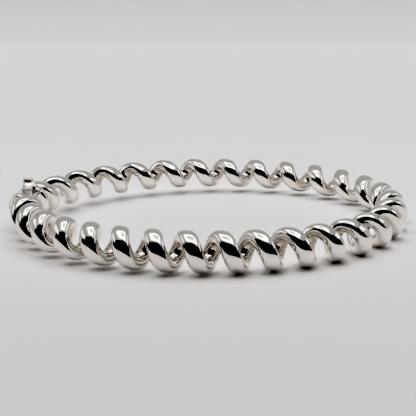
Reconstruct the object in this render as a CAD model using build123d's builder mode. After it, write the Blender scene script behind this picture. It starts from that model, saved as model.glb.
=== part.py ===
"""Spiral coil bracelet of polished silver: a round rod wound into a long spring,
the spring bent round into a ring, and its two ends closed by a small box clasp."""
import os
from math import cos, pi, radians, sin, tan

from build123d import *

# Rod and winding, in millimetres
rod_diameter = 2.62
ring_radius = 32.0
winding_width = 3.04
winding_height = 3.41
turns_all_round = 31.8

# Form of the ring, in shares of its radius and degrees round from +X
oval_share = 0.0458
oval_direction = 57.8
egg_share = 0.0056
egg_direction = 63.1

# The winding is larger at the front of the ring than at the back, by this share of its middle size
front_swell = 0.135

# Where the turns crowd and spread: waves round the ring, share of one turn's spacing, degrees
crowding = [
    {"waves": 1, "share": 0.463, "direction": 166.1},
    {"waves": 2, "share": 0.358, "direction": 64.0},
    {"waves": 3, "share": 0.055, "direction": 136.9},
]
first_crest_direction = -174.3

# Near end: most of a turn before the first crest, wound wider towards the clasp
near_end_turn = -0.84
near_opening_turns = 0.75
near_wider = 0.85
near_lower = 0.28

# Far end: the last turn, larger and further out, so that it stands lower and then rises to the clasp
far_end_turn = 30.90
far_opening_starts = 29.75
far_opening_turns = 0.6
far_wider = 0.61
far_higher = 0.68
far_sinks = 0.13
far_outward = 0.81
far_drawn_back = 0.505
far_drawing_starts = 30.0

# Rest: the turns at the front right touch the ground, and the left side and the back stand clear of it
tilt_to_right = 0.86
tilt_to_front = 0.3

# Caps on the rod's ends, each with a stub that is fixed in a hole in the rod
fit_gap = 0.04
stub_diameter = 1.0
stub_length = 1.0
near_cap_length = 1.4
near_cap_round = 1.2
far_cap_length = 1.0
far_cap_round = 0.7

# Box beside the near cap, open towards the far one
box_width = 1.7
box_height = 1.4
box_length = 1.75
box_round = 0.25
box_wall = 0.25
box_inward = 1.33
box_rise = 1.6
mouth_gap = 0.45

# Tongue in the box, and the thumb-piece over the far cap: its sides and ramps, measured from the cap's tip
tongue_width = 0.8
tongue_thickness = 0.45
tongue_reach = 1.3
thumb_top = 1.9
thumb_foot = -0.6
thumb_left = -1.55
thumb_right = 0.05
thumb_back = 0.55
thumb_front = -0.05
right_ramp_reach = 0.75
right_ramp_foot = 0.78
front_ramp_reach = -0.75
front_ramp_top = 1.25
front_ramp_foot = 0.55
thumb_round = 0.22

# The rod's line: straight runs, with bends that use up most of each
steps_per_turn = 12
run_used_by_bend = 0.45

rod_radius = rod_diameter / 2
turn_angle = 2 * pi / turns_all_round


def ease(share):
    """Smooth rise from 0 to 1, level at both ends."""
    share = min(max(share, 0), 1)
    return share * share * (3 - 2 * share)


def direction_of(turn):
    """Angle round the ring, in radians, of a place counted in turns from the first crest."""
    even = radians(first_crest_direction) + turn_angle * turn
    waves = [wave["share"] * cos(wave["waves"] * even - radians(wave["direction"])) for wave in crowding]
    return even + turn_angle * sum(waves)


def coil_point(turn, fullness=1.0):
    """Middle of the rod, in the ring's own frame. Each whole number of turns is a crest."""
    near = ease(-turn / near_opening_turns)
    far = ease((turn - far_opening_starts) / far_opening_turns)
    angle = direction_of(turn - far_drawn_back * ease(turn - far_drawing_starts))
    phase = pi / 2 - 2 * pi * turn
    swell = 1 - front_swell * sin(angle)
    width = winding_width * swell + near_wider * near + far_wider * far
    height = winding_height * swell - near_lower * near + far_higher * far
    oval = oval_share * cos(2 * (angle - radians(oval_direction)))
    egg = egg_share * cos(3 * (angle - radians(egg_direction)))
    out = ring_radius * (1 + oval + egg) + far_outward * far + fullness * width / 2 * cos(phase)
    up = fullness * height / 2 * sin(phase) - far_sinks * far
    return Vector(out * cos(angle), out * sin(angle), up)


# The ring lies a little aslant on the ground, with its middle over the origin
steps = round((far_end_turn - near_end_turn) * steps_per_turn)
turns = [near_end_turn + (far_end_turn - near_end_turn) * step / steps for step in range(steps + 1)]
slant = Plane.XY.rotated((tilt_to_front, tilt_to_right, 0))
winding = [slant.from_local_coords(coil_point(turn)) for turn in turns]
middle_x = (min(point.X for point in winding) + max(point.X for point in winding)) / 2
middle_y = (min(point.Y for point in winding) + max(point.Y for point in winding)) / 2
ground = min(point.Z for point in winding) - rod_radius
ring = Plane(origin=(-middle_x, -middle_y, -ground), x_dir=slant.x_dir, z_dir=slant.z_dir)

# The corners stand as far outside the true winding as the bends cut inside them
outside = 1 / cos(pi / steps_per_turn)
corners = [ring.from_local_coords(coil_point(turn, outside)) for turn in turns]


def bend_radius(corner):
    """Radius of the bend at a corner, as large as its two runs allow."""
    before = corners[corner] - corners[corner - 1]
    after = corners[corner + 1] - corners[corner]
    half_turn = radians(before.get_angle(after) / 2)
    return run_used_by_bend * min(before.length, after.length) / tan(half_turn)


# The rod's two end faces, looking out of the rod
near_face = Plane(origin=corners[0], x_dir=ring.y_dir, z_dir=corners[0] - corners[1])
far_face = Plane(origin=corners[-1], x_dir=ring.y_dir, z_dir=corners[-1] - corners[-2])

with BuildPart() as coil:
    with BuildLine() as route:
        for first in range(1, steps, steps_per_turn):
            last = min(first + steps_per_turn, steps) - 1
            start = corners[0] if first == 1 else (corners[first - 1] + corners[first]) / 2
            end = corners[-1] if last == steps - 1 else (corners[last] + corners[last + 1]) / 2
            bends = [bend_radius(corner) for corner in range(first, last + 1)]
            FilletPolyline(start, *corners[first : last + 1], end, radius=bends)
    with BuildSketch(near_face):
        Circle(rod_radius)
    sweep(path=route.line)
    for face in (near_face, far_face):
        with BuildSketch(face):
            Circle(stub_diameter / 2 + fit_gap)
        extrude(amount=-stub_length - fit_gap, mode=Mode.SUBTRACT)
coil.part.label = "coil"


def cap_outline(face, length, end_round):
    """Half outline of a cap: a stub for the rod's hole, and a body flush with the rod, rounded at its end."""
    side = Plane(origin=face.origin, x_dir=face.x_dir, z_dir=face.x_dir.cross(face.z_dir))
    with BuildSketch(side) as outline:
        with BuildLine():
            Polyline(
                (rod_radius - end_round, length),
                (0, length),
                (0, -stub_length),
                (stub_diameter / 2, -stub_length),
                (stub_diameter / 2, fit_gap),
                (rod_radius, fit_gap),
                (rod_radius, length - end_round),
            )
            CenterArc((rod_radius - end_round, length - end_round), end_round, 0, 90)
        make_face()
    return outline.sketch


# The box stands over the near end of the rod, and its mouth looks back along the ring to the far cap
near_end = ring.to_local_coords(near_face.origin)
far_tip = ring.to_local_coords(far_face.origin + far_face.z_dir * far_cap_length)
mouth_middle = Vector(near_end.X + box_inward, far_tip.Y - rod_radius - mouth_gap, near_end.Z + box_rise)
mouth = Plane(origin=ring.from_local_coords(mouth_middle), x_dir=ring.x_dir, z_dir=ring.y_dir)

with BuildPart() as clasp_box:
    with BuildSketch(mouth):
        Rectangle(box_width, box_height)
    extrude(amount=-box_length)
    fillet(clasp_box.edges(), radius=box_round)
    near_cap = cap_outline(near_face, near_cap_length, near_cap_round)
    revolve(near_cap, axis=Axis(near_face.origin, near_face.z_dir))
    with BuildSketch(mouth):
        Rectangle(box_width - 2 * box_wall, box_height - 2 * box_wall)
    extrude(amount=-(box_length - box_wall), mode=Mode.SUBTRACT)
clasp_box.part.label = "clasp_box"

# The thumb-piece stands over the far cap: upright at its left and back, with a ramp to its right and front
from_front = Plane(origin=ring.from_local_coords(far_tip), x_dir=ring.x_dir, z_dir=-ring.y_dir)
from_right = Plane(origin=from_front.origin, x_dir=ring.y_dir, z_dir=ring.x_dir)
cap_corner = -rod_radius * Vector(far_face.z_dir.Z, 0, -far_face.z_dir.X)

with BuildPart() as clasp_tongue:
    with BuildSketch(from_front):
        with BuildLine():
            Polyline(
                (cap_corner.X, thumb_foot),
                (thumb_left, 0),
                (thumb_left, thumb_top),
                (thumb_right, thumb_top),
                (right_ramp_reach, right_ramp_foot),
                (right_ramp_reach, thumb_foot),
                close=True,
            )
        make_face()
    extrude(amount=rod_diameter, both=True)
    with BuildSketch(from_right):
        with BuildLine():
            Polyline(
                (thumb_back, thumb_foot),
                (thumb_back, thumb_top),
                (thumb_front, thumb_top),
                (thumb_front, front_ramp_top),
                (front_ramp_reach, front_ramp_foot),
                (front_ramp_reach, thumb_foot),
                close=True,
            )
        make_face()
    extrude(amount=rod_diameter, both=True, mode=Mode.INTERSECT)
    fillet(clasp_tongue.edges(), radius=thumb_round)
    far_cap = cap_outline(far_face, far_cap_length, far_cap_round)
    revolve(far_cap, axis=Axis(far_face.origin, far_face.z_dir))
    with BuildSketch(mouth.offset(-tongue_reach)):
        Rectangle(tongue_width, tongue_thickness)
    extrude(amount=tongue_reach + mouth_gap + rod_radius)
clasp_tongue.part.label = "clasp_tongue"

os.makedirs("parts", exist_ok=True)
for piece in (coil, clasp_box, clasp_tongue):
    export_step(piece.part, f"parts/{piece.part.label}.step")
    print(piece.part.label, round(piece.part.volume, 2), "mm3")

route_length = sum(edge.length for edge in route.line.edges())
print("rod", round(route_length, 1), "mm long, tightest bend",
      round(min(bend_radius(corner) for corner in range(1, steps)), 2), "mm")
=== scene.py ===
"""Spiral coil bracelet of polished silver, lying on a pale table in a light tent."""
from math import cos, pi, radians, sin

import bpy
import numpy as np
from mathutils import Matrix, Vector


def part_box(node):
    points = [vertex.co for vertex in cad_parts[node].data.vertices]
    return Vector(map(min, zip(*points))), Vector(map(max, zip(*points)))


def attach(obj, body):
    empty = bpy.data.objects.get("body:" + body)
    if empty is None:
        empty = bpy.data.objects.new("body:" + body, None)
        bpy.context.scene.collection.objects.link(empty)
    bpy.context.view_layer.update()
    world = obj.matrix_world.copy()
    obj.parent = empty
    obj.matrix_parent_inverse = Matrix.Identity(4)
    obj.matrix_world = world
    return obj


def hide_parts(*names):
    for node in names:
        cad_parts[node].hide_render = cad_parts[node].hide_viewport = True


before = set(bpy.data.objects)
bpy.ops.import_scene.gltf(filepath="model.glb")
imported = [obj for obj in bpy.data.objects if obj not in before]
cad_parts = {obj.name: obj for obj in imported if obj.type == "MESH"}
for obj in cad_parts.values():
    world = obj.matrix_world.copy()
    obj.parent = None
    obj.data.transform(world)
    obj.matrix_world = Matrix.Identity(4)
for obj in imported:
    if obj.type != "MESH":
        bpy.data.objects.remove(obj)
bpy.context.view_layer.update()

# The coil: one rod of sterling silver, a little flatter than round, wound on a mandrel into a long
# right-handed spring, bent round into a slightly oval ring, and polished to a mirror. Its two ends are
# capped by the clasp. Lengths are in metres, directions in degrees round from +X.
half_across_rod = 0.00142
half_through_rod = 0.00115
squareness = 0.18

# The winding, and the ring that it is bent into
ring_radius = 0.032
winding_width = 0.0033
winding_height = 0.00367
turns_all_round = 31.8

# Form of the ring, in shares of its radius
oval_share = 0.0458
oval_direction = 57.8
egg_share = 0.0056
egg_direction = 63.1

# The winding is larger at the front of the ring than at the back, by this share of its middle size
front_swell = 0.135

# The winding leans: its crests lie further in at the front right of the ring, and further out at the
# back left. The share is of the winding's height.
lean_share = 0.15
lean_direction = -60

# Where the turns crowd and spread: waves round the ring, share of one turn's spacing, direction
crowding = [(1, 0.463, 166.1), (2, 0.358, 64.0), (3, 0.055, 136.9)]
first_crest_direction = -174.3

# Near end: most of a turn before the first crest, wound wider towards the clasp
near_end_turn = -0.84
near_opening_turns = 0.75
near_wider = 0.00085
near_lower = 0.00028

# Far end: the last turn, larger and further out, so that it stands lower and then rises to the clasp
far_end_turn = 30.9
far_opening_starts = 29.75
far_opening_turns = 0.6
far_wider = 0.00061
far_higher = 0.00068
far_sinks = 0.00013
far_outward = 0.00081
far_drawn_back = 0.505
far_drawing_starts = 30.0

# How the ring lies: lower at its right and at its front
tilt_to_right = radians(0.86)
tilt_to_front = radians(0.3)

# Each end is round instead of oval, and runs straight into its cap of the clasp
cap_radius = 0.00131
end_run = 1 / 12
end_fullness = 1 / cos(pi * end_run)
turns_to_straighten = 0.22

rings_per_turn = 96
sides_of_rod = 32


def ease(share):
    """Smooth rise from 0 to 1, level at both ends: 3 s squared less 2 s cubed, with s kept from 0 to 1."""
    share = np.clip(share, 0, 1)
    return share * share * (3 - 2 * share)


def direction_of(turn):
    """Angle round the ring of a place counted in turns: even steps, plus three waves that crowd them."""
    turn_angle = 2 * pi / turns_all_round
    even = radians(first_crest_direction) + turn_angle * turn
    uneven = sum(share * np.cos(waves * even - radians(direction)) for waves, share, direction in crowding)
    return even + turn_angle * uneven


def coil_line(turn, fullness=1.0):
    """Middle of the rod: a circle of the winding's width and height, once round for each turn, carried
    round an oval ring whose radius is the mean, plus a wave of two and a wave of three humps. The lean
    moves each point inwards by a share of its height over the circle's middle."""
    near = ease(-turn / near_opening_turns)
    far = ease((turn - far_opening_starts) / far_opening_turns)
    angle = direction_of(turn - far_drawn_back * ease(turn - far_drawing_starts))
    phase = pi / 2 - 2 * pi * turn
    swell = 1 - front_swell * np.sin(angle)
    width = winding_width * swell + near_wider * near + far_wider * far
    height = winding_height * swell - near_lower * near + far_higher * far
    oval = oval_share * np.cos(2 * (angle - radians(oval_direction)))
    egg = egg_share * np.cos(3 * (angle - radians(egg_direction)))
    lean = lean_share * np.cos(angle - radians(lean_direction)) * (1 - near) * (1 - far)
    across = width * np.cos(phase) - lean * height * np.sin(phase)
    out = ring_radius * (1 + oval + egg) + far_outward * far + fullness * across / 2
    up = fullness * height / 2 * np.sin(phase) - far_sinks * far
    return np.stack([out * np.cos(angle), out * np.sin(angle), up], axis=1)


def aslant(points):
    """The ring's own frame turned as it lies: first about Y, its right side down, and then about X, its
    front down."""
    about_y = np.array([
        [cos(tilt_to_right), 0, sin(tilt_to_right)],
        [0, 1, 0],
        [-sin(tilt_to_right), 0, cos(tilt_to_right)],
    ])
    about_x = np.array([
        [1, 0, 0],
        [0, cos(tilt_to_front), -sin(tilt_to_front)],
        [0, sin(tilt_to_front), cos(tilt_to_front)],
    ])
    return points @ about_y.T @ about_x.T


def unit(vectors):
    """Each vector divided by its own length."""
    return vectors / np.linalg.norm(vectors, axis=-1, keepdims=True)


def straightened(line, turns, end_turn, way_in):
    """Line whose end goes over to the straight run from the end turn a little way in: the run's share
    rises smoothly from 0 at turns_to_straighten away to 1 at the end."""
    end, further_in = coil_line(end_turn + way_in * np.array([0, end_run]), end_fullness)
    from_end = np.abs(turns - end_turn)[:, None]
    straight = end + from_end / end_run * (further_in - end)
    return line + ease(1 - from_end / turns_to_straighten) * (straight - line)


def grid_mesh(name, points):
    """Piece whose mesh is a grid of points, rows by columns, that closes round its columns: four-sided
    faces between neighbours, and a fan to the middle of the first row and of the last."""
    rows, columns = points.shape[:2]
    row, column = np.meshgrid(np.arange(rows - 1), np.arange(columns), indexing="ij")
    here = row * columns + column
    beside = row * columns + (column + 1) % columns
    quads = np.stack([here, beside, beside + columns, here + columns], axis=-1).reshape(-1, 4)
    corners = np.concatenate([points.reshape(-1, 3), points[:1].mean(axis=1), points[-1:].mean(axis=1)])
    first_middle = rows * columns
    last_middle = first_middle + 1
    last_row = first_middle - columns
    around = np.arange(columns)
    following = (around + 1) % columns
    start = np.stack([np.full(columns, first_middle), following, around], axis=1)
    end = np.stack([np.full(columns, last_middle), last_row + around, last_row + following], axis=1)
    mesh = bpy.data.meshes.new(name)
    mesh.from_pydata(corners.tolist(), [], quads.tolist() + start.tolist() + end.tolist())
    mesh.shade_smooth()
    piece = bpy.data.objects.new(name, mesh)
    bpy.context.scene.collection.objects.link(piece)
    return piece


def rod_surface(line, outwards, half_through, half_across, sides):
    """Points on an oval rod: at each point of its line, an oval square to the line, whose short axis
    points outwards, away from the middle of the winding. It is an ellipse with its cosine and sine drawn
    out by a power, 1 less the squareness, so that its broad sides are flatter."""
    along = unit(np.gradient(line, axis=0))
    short = unit(outwards - along * (outwards * along).sum(axis=1, keepdims=True))
    long = np.cross(along, short)
    angle = np.linspace(0, 2 * pi, sides, endpoint=False)
    waves = np.stack([np.cos(angle), np.sin(angle)])
    squared_cos, squared_sin = np.sign(waves) * np.abs(waves) ** (1 - squareness)
    through = (half_through[:, None] * short)[:, None] * squared_cos[:, None]
    across = (half_across[:, None] * long)[:, None] * squared_sin[:, None]
    return line[:, None] + through + across


rings = round((far_end_turn - near_end_turn) * rings_per_turn) + 1
turns = np.linspace(near_end_turn, far_end_turn, rings)
rod_line = straightened(coil_line(turns), turns, near_end_turn, 1)
rod_line = straightened(rod_line, turns, far_end_turn, -1)

# The winding's middle lies halfway between the rod and the rod half a turn before and after
winding_middle = (coil_line(turns - 0.5) + 2 * coil_line(turns) + coil_line(turns + 0.5)) / 4

# The oval goes over to the caps' round towards both ends
roundness = ease(1 - np.minimum(turns - near_end_turn, far_end_turn - turns) / turns_to_straighten)
half_through = half_through_rod + (cap_radius - half_through_rod) * roundness
half_across = half_across_rod + (cap_radius - half_across_rod) * roundness
outwards = aslant(rod_line - winding_middle)
rod = rod_surface(aslant(rod_line), outwards, half_through, half_across, sides_of_rod)

# The ring goes where the solid coil lies
solid_low, solid_high = (np.array(corner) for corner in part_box("coil"))
ring_middle = (solid_low + solid_high) / 2 - (rod.min(axis=(0, 1)) + rod.max(axis=(0, 1))) / 2
coil = grid_mesh("polished_coil", rod + ring_middle)
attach(coil, "root")
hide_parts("coil")

# How far each point of the rod faces into its own winding, for the painted shade there, strongest under
# the crests
facing_in = -np.cos(np.linspace(0, 2 * pi, sides_of_rod, endpoint=False))
shade_all_round = 0.2
under_crest = np.clip(np.cos(2 * pi * turns), 0, 1)
inner_shade_share = (1 - roundness) * (shade_all_round + (1 - shade_all_round) * under_crest)
end_middles = [0, 0]
inner_side = np.outer(inner_shade_share, facing_in).ravel().tolist() + end_middles
coil.data.attributes.new("inner_side", "FLOAT", "POINT").data.foreach_set("value", inner_side)


def noise_of(tree, place, scale, detail):
    """Clouds of noise over a place, added to a node tree. Gives back their value, from 0 to 1."""
    noise = tree.nodes.new("ShaderNodeTexNoise")
    noise.inputs["Scale"].default_value = scale
    noise.inputs["Detail"].default_value = detail
    tree.links.new(place, noise.inputs["Vector"])
    return noise.outputs["Fac"]


def spread(tree, value, start=0, end=1, low=0, high=1, course="LINEAR"):
    """A node, added to a node tree, whose result goes from low to high as the value goes from start to
    end. It stays at low before the start and at high beyond the end."""
    ranged = tree.nodes.new("ShaderNodeMapRange")
    ranged.interpolation_type = course
    for name, number in (("From Min", start), ("From Max", end), ("To Min", low), ("To Max", high)):
        ranged.inputs[name].default_value = number
    tree.links.new(value, ranged.inputs["Value"])
    return ranged


def worn_polish():
    """Node group for polished metal in use: clouds where it was handled raise the roughness, and very
    fine marks add a little more. It puts out that roughness, and the height of the surface's slight
    waves."""
    group = bpy.data.node_groups.new("worn_polish", "ShaderNodeTree")
    for name, value in (("Polished Roughness", 0.025), ("Handled Roughness", 0.09), ("Marks", 0.02)):
        socket = group.interface.new_socket(name, in_out="INPUT", socket_type="NodeSocketFloat")
        socket.default_value = value
    for name in ("Roughness", "Height"):
        group.interface.new_socket(name, in_out="OUTPUT", socket_type="NodeSocketFloat")
    given = group.nodes.new("NodeGroupInput")
    result = group.nodes.new("NodeGroupOutput")
    place = group.nodes.new("ShaderNodeTexCoord").outputs["Object"]
    handled = spread(group, noise_of(group, place, scale=110, detail=3), start=0.45, end=0.8)
    group.links.new(given.outputs["Polished Roughness"], handled.inputs["To Min"])
    group.links.new(given.outputs["Handled Roughness"], handled.inputs["To Max"])
    marked = group.nodes.new("ShaderNodeMath")
    marked.operation = "MULTIPLY_ADD"
    group.links.new(noise_of(group, place, scale=3500, detail=2), marked.inputs[0])
    group.links.new(given.outputs["Marks"], marked.inputs[1])
    group.links.new(handled.outputs["Result"], marked.inputs[2])
    group.links.new(marked.outputs["Value"], result.inputs["Roughness"])
    group.links.new(noise_of(group, place, scale=300, detail=2), result.inputs["Height"])
    return group


polish = worn_polish()


def silver(name):
    """Material of sterling silver with the worn polish. Its node named skin holds the slight waves of the
    surface."""
    material = bpy.data.materials.new(name)
    material.use_nodes = True
    tree = material.node_tree
    shader = tree.nodes["Principled BSDF"]
    shader.inputs["Metallic"].default_value = 1
    wear = tree.nodes.new("ShaderNodeGroup")
    wear.node_tree = polish
    tree.links.new(wear.outputs["Roughness"], shader.inputs["Roughness"])
    skin = tree.nodes.new("ShaderNodeBump")
    skin.name = "skin"
    skin.inputs["Distance"].default_value = 0.00003
    tree.links.new(wear.outputs["Height"], skin.inputs["Height"])
    tree.links.new(skin.outputs["Normal"], shader.inputs["Normal"])
    return material


# A mix node's two colours and its mixed colour, counted among its sockets
first_colour = 6
second_colour = 7
mixed_colour = 2


def paint_shade(tree, value, start, end, colour):
    """Colour of the silver in its node tree, with painted shade: bright up to the value's start, going over
    smoothly to the shade's colour at its end, with clouds of up to three tenths left bright."""
    place = tree.nodes.new("ShaderNodeTexCoord").outputs["Object"]
    uneven = spread(tree, noise_of(tree, place, scale=700, detail=3), start=0.3, end=0.6, low=0.7)
    shade_amount = spread(tree, value, start, end, course="SMOOTHSTEP")
    tree.links.new(uneven.outputs["Result"], shade_amount.inputs["To Max"])
    metal = tree.nodes.new("ShaderNodeMix")
    metal.data_type = "RGBA"
    metal.inputs[first_colour].default_value = (0.9, 0.87, 0.835, 1)
    metal.inputs[second_colour].default_value = colour
    tree.links.new(shade_amount.outputs["Result"], metal.inputs["Factor"])
    tree.links.new(metal.outputs[mixed_colour], tree.nodes["Principled BSDF"].inputs["Base Color"])


# Painted shade: the silver's colour turns warm and dark on the inner side of the winding
coil_silver = silver("coil_silver")
tree = coil_silver.node_tree
inner = tree.nodes.new("ShaderNodeAttribute")
inner.attribute_name = "inner_side"
paint_shade(tree, inner.outputs["Fac"], start=-0.05, end=0.5, colour=(0.66, 0.59, 0.53, 1))
coil.data.materials.append(coil_silver)

# The clasp: a small box soldered over the rod's near end, and a tongue with a thumb-piece over its far end,
# sawn and filed from silver plate. Its edges are softened by the polishing, and its corners are darkened
# with painted shade.
clasp_silver = silver("clasp_silver")
tree = clasp_silver.node_tree
# Painted shade: the silver darkens to brown where the clasp's parts crowd close together
corners = tree.nodes.new("ShaderNodeAmbientOcclusion")
corners.inputs["Distance"].default_value = 0.0015
paint_shade(tree, corners.outputs["AO"], start=1, end=0.45, colour=(0.36, 0.28, 0.22, 1))
softened = tree.nodes.new("ShaderNodeBevel")
softened.samples = 12
softened.inputs["Radius"].default_value = 0.0009
tree.links.new(softened.outputs["Normal"], tree.nodes["skin"].inputs["Normal"])
for name in ("clasp_box", "clasp_tongue"):
    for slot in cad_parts[name].material_slots:
        slot.material = clasp_silver

# The table: a wide sheet of matt white plastic laid flat, with painted shade that darkens it near the
# camera, and a painted glow that brightens it again where it runs out of the tent into the lit room.
table_radius = 4.0
sides_of_table = 96
white_of_room = (1, 0.985, 0.985, 1)
around = np.linspace(0, 2 * pi, sides_of_table, endpoint=False)
rim = np.stack([np.cos(around), np.sin(around), np.zeros_like(around)], axis=1)
table_mesh = bpy.data.meshes.new("table")
table_mesh.from_pydata((table_radius * rim).tolist(), [], [list(range(len(rim)))])
table = bpy.data.objects.new("table", table_mesh)
bpy.context.scene.collection.objects.link(table)
table_top = bpy.data.materials.new("table_top")
table_top.use_nodes = True
tree = table_top.node_tree
nodes, links = tree.nodes, tree.links
table_shader = nodes["Principled BSDF"]
place = nodes.new("ShaderNodeTexCoord").outputs["Object"]
parts = nodes.new("ShaderNodeSeparateXYZ")
links.new(place, parts.inputs["Vector"])
# Painted shade: the sheet's colour darkens towards the camera, where less light reaches it
lit_towards_back = spread(tree, parts.outputs["Y"], start=-0.13, end=0.05)
front_shade_tone = nodes.new("ShaderNodeMix")
front_shade_tone.data_type = "RGBA"
front_shade_tone.inputs[first_colour].default_value = (0.66, 0.65, 0.65, 1)
front_shade_tone.inputs[second_colour].default_value = (0.8, 0.79, 0.79, 1)
links.new(lit_towards_back.outputs["Result"], front_shade_tone.inputs["Factor"])

# Where the silver almost touches the sheet, hardly any light gets in
touched = nodes.new("ShaderNodeAmbientOcclusion")
touched.inputs["Distance"].default_value = 0.0014
lit = spread(tree, touched.outputs["AO"], start=0.3, end=0.95)
shaded_tone = nodes.new("ShaderNodeMix")
shaded_tone.data_type = "RGBA"
shaded_tone.inputs[first_colour].default_value = (0.44, 0.41, 0.39, 1)
links.new(front_shade_tone.outputs[mixed_colour], shaded_tone.inputs[second_colour])
links.new(lit.outputs["Result"], shaded_tone.inputs["Factor"])
links.new(shaded_tone.outputs[mixed_colour], table_shader.inputs["Base Color"])

# Painted light: the sheet itself glows further out, for the lit room's light on it
distance = nodes.new("ShaderNodeVectorMath")
distance.operation = "LENGTH"
links.new(place, distance.inputs[0])
far_glow = spread(tree, distance.outputs["Value"], start=0.2, end=2, high=0.5)
links.new(far_glow.outputs["Result"], table_shader.inputs["Emission Strength"])
table_shader.inputs["Emission Color"].default_value = white_of_room

# The sheet's skin: a fine grain, a little duller in some places than in others
grain = nodes.new("ShaderNodeBump")
grain.inputs["Distance"].default_value = 0.00001
links.new(noise_of(tree, place, scale=2500, detail=2), grain.inputs["Height"])
links.new(grain.outputs["Normal"], table_shader.inputs["Normal"])
dullness = spread(tree, noise_of(tree, place, scale=40, detail=3), low=0.6, high=0.8)
links.new(dullness.outputs["Result"], table_shader.inputs["Roughness"])
table.data.materials.append(table_top)

# The light tent: a white cloth box over the table, open at the front, where the dark room shows. A black
# sheet on the table there, seen only in the silver, is a painted reflection of that dark front. A soft lamp
# hangs under the tent's roof. The cloths show only where they are mirrored, so the table is lit by a wide
# lamp, by the room's even light and by what the silver throws back.
tent_height = 0.25
tent_half_width = 0.31
lamp_rim_glow = 1.13
lamp_middle_glow = 0.64
roof_glow = 0.38
side_glow = 0.9
wall_glow = 0.42
back_glow = 0.45
sewn_edge = 0.02
faded_edge = 0.3
glow_over_picture = 5


def glowing_cloth(name, middle, first_half, second_half, rim_glow, middle_glow, soft_edge):
    """A flat sheet of light that reaches one half side each way from its middle. Its glow goes smoothly
    from the middle's to the rim's between 0.15 and half of the way out, and fades to nothing within
    soft_edge, a share of the half side, of its edges."""
    signs = np.array([(-1, -1), (1, -1), (1, 1), (-1, 1)])
    corners = np.array(middle) + signs @ np.array([first_half, second_half])
    mesh = bpy.data.meshes.new(name)
    mesh.from_pydata(corners.tolist(), [], [(0, 1, 2, 3)])
    layer = mesh.uv_layers.new(name="sheet")
    layer.data.foreach_set("uv", signs.ravel().tolist())
    sheet = bpy.data.objects.new(name, mesh)
    bpy.context.scene.collection.objects.link(sheet)
    sheet.visible_camera = False
    sheet.visible_diffuse = False
    sheet.visible_shadow = False
    cloth = bpy.data.materials.new(name)
    cloth.use_nodes = True
    tree = cloth.node_tree
    nodes, links = tree.nodes, tree.links
    nodes.clear()
    place = nodes.new("ShaderNodeUVMap")
    place.uv_map = "sheet"
    parts = nodes.new("ShaderNodeSeparateXYZ")
    links.new(place.outputs["UV"], parts.inputs["Vector"])

    # Nearness to the edge, 0 in the middle and 1 at the edge, on squares with round corners: the sixth
    # root of X to the sixth plus Y to the sixth
    corner_power = 6
    both = nodes.new("ShaderNodeMath")
    for axis, socket in zip("XY", both.inputs):
        power = nodes.new("ShaderNodeMath")
        power.operation = "POWER"
        power.inputs[1].default_value = corner_power
        links.new(parts.outputs[axis], power.inputs[0])
        links.new(power.outputs["Value"], socket)
    edge = nodes.new("ShaderNodeMath")
    edge.operation = "POWER"
    edge.inputs[1].default_value = 1 / corner_power
    links.new(both.outputs["Value"], edge.inputs[0])
    nearness = edge.outputs["Value"]
    glow = spread(tree, nearness, 0.15, 0.5, low=middle_glow, high=rim_glow, course="SMOOTHSTEP")

    # The cloth is brighter than a picture can show, and the table sees it so by way of the silver
    bounces = nodes.new("ShaderNodeLightPath").outputs["Diffuse Depth"]
    full_glow = spread(tree, bounces, low=1, high=glow_over_picture)
    strength = nodes.new("ShaderNodeMath")
    strength.operation = "MULTIPLY"
    links.new(glow.outputs["Result"], strength.inputs[0])
    links.new(full_glow.outputs["Result"], strength.inputs[1])
    emission = nodes.new("ShaderNodeEmission")
    links.new(strength.outputs["Value"], emission.inputs["Strength"])

    clear = nodes.new("ShaderNodeBsdfTransparent")
    fade = spread(tree, nearness, start=1 - soft_edge, course="SMOOTHSTEP")
    mix = nodes.new("ShaderNodeMixShader")
    links.new(fade.outputs["Result"], mix.inputs["Fac"])
    links.new(emission.outputs["Emission"], mix.inputs[1])
    links.new(clear.outputs["BSDF"], mix.inputs[2])
    surface = nodes.new("ShaderNodeOutputMaterial")
    links.new(mix.outputs["Shader"], surface.inputs["Surface"])
    mesh.materials.append(cloth)


# The lamp hangs a centimetre under the roof
lamp_middle = (0.015, -0.025, tent_height - 0.01)
lamp_halves = ((0.175, -0.01, 0), (0, 0.125, 0))
glowing_cloth("roof_lamp", lamp_middle, *lamp_halves, lamp_rim_glow, lamp_middle_glow, soft_edge=0.2)
roof_middle = (0, 0.12, tent_height)
roof_halves = ((0.3, 0, 0), (0, 0.29, 0))
glowing_cloth("roof_cloth", roof_middle, *roof_halves, roof_glow, roof_glow, sewn_edge)

# The lit upper parts of the sides, and the walls they hang on
for name, x, y, half_length in (("left_cloth", -0.3, 0.03, 0.18), ("right_cloth", 0.3, 0.06, 0.14)):
    side_halves = ((0, half_length, 0), (0, 0, 0.07))
    glowing_cloth(name, (x, y, 0.18), *side_halves, side_glow, side_glow, faded_edge)
half_up = (0, 0, tent_height / 2)
for name, x in (("left_wall", -tent_half_width), ("right_wall", tent_half_width)):
    glowing_cloth(name, (x, 0.2, tent_height / 2), (0, 0.22, 0), half_up, wall_glow, wall_glow, sewn_edge)
back_middle = (0, 0.42, tent_height / 2)
glowing_cloth("back_cloth", back_middle, (tent_half_width, 0, 0), half_up, back_glow, back_glow, sewn_edge)
# Painted reflection: a black sheet, seen only in the silver, for the dark front of the room
glowing_cloth("dark_front_reflection", (0, -1.1, 0.0005), (1.5, 0, 0), (0, 1, 0), 0, 0, soft_edge=0.005)

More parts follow.
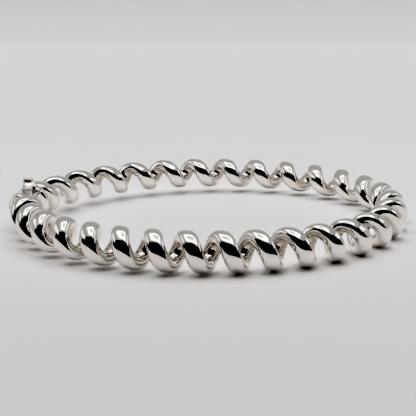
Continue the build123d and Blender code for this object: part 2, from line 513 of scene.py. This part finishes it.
# The wide lamp that lights the table, high over the tent
lamp_light = bpy.data.lights.new("lamp_light", "AREA")
lamp_light.shape = "RECTANGLE"
lamp_light.size = 1.7
lamp_light.size_y = 1.4
lamp_light.energy = 12.1
lamp = bpy.data.objects.new("lamp_light", lamp_light)
lamp.location = (0, 0.05, 1.0)
lamp.visible_glossy = False
bpy.context.scene.collection.objects.link(lamp)

# The room's even light comes from the white back and sides, and hardly from the dark front. Beyond the
# table's edge it shows as plain light grey.
world = bpy.data.worlds.new("room")
bpy.context.scene.world = world
world.use_nodes = True
tree = world.node_tree
nodes, links = tree.nodes, tree.links
background = nodes["Background"]
direction = nodes.new("ShaderNodeTexCoord")
parts = nodes.new("ShaderNodeSeparateXYZ")
links.new(direction.outputs["Generated"], parts.inputs["Vector"])
backwards = spread(tree, parts.outputs["Y"], -0.6, 0.1, low=0.02, high=0.25, course="SMOOTHSTEP")
ray = nodes.new("ShaderNodeLightPath")
strength = nodes.new("ShaderNodeMix")
links.new(ray.outputs["Is Camera Ray"], strength.inputs["Factor"])
links.new(backwards.outputs["Result"], strength.inputs["A"])
strength.inputs["B"].default_value = 0.6
links.new(strength.outputs["Result"], background.inputs["Strength"])
background.inputs["Color"].default_value = white_of_room
world.cycles_visibility.glossy = False

# The picture: plain tones, with the darkest printed as full black
picture = bpy.context.scene.view_settings
picture.view_transform = "Standard"
picture.use_curve_mapping = True
picture.curve_mapping.black_level = (0.035, 0.035, 0.035)

# The camera: a long lens low over the table, before the middle of the ring's front
focal_pixels = 1274.8
middle_pixel = (212.43, 206.75)
photo_pixels = 416
eye_distance = 0.22220064
eye_elevation = radians(11.744)
lens = bpy.data.cameras.new("camera")
lens.sensor_width = 36
lens.lens = focal_pixels / photo_pixels * lens.sensor_width
lens.shift_x = (photo_pixels / 2 - middle_pixel[0]) / photo_pixels
lens.shift_y = (middle_pixel[1] - photo_pixels / 2) / photo_pixels
lens.clip_start = 0.01
lens.clip_end = 10
camera = bpy.data.objects.new("camera", lens)
towards_eye = Vector((0, -cos(eye_elevation), sin(eye_elevation)))
camera.location = Vector(ring_middle) + towards_eye * eye_distance
camera.rotation_euler = (-towards_eye).to_track_quat("-Z", "Y").to_euler()
bpy.context.scene.collection.objects.link(camera)
bpy.context.scene.camera = camera
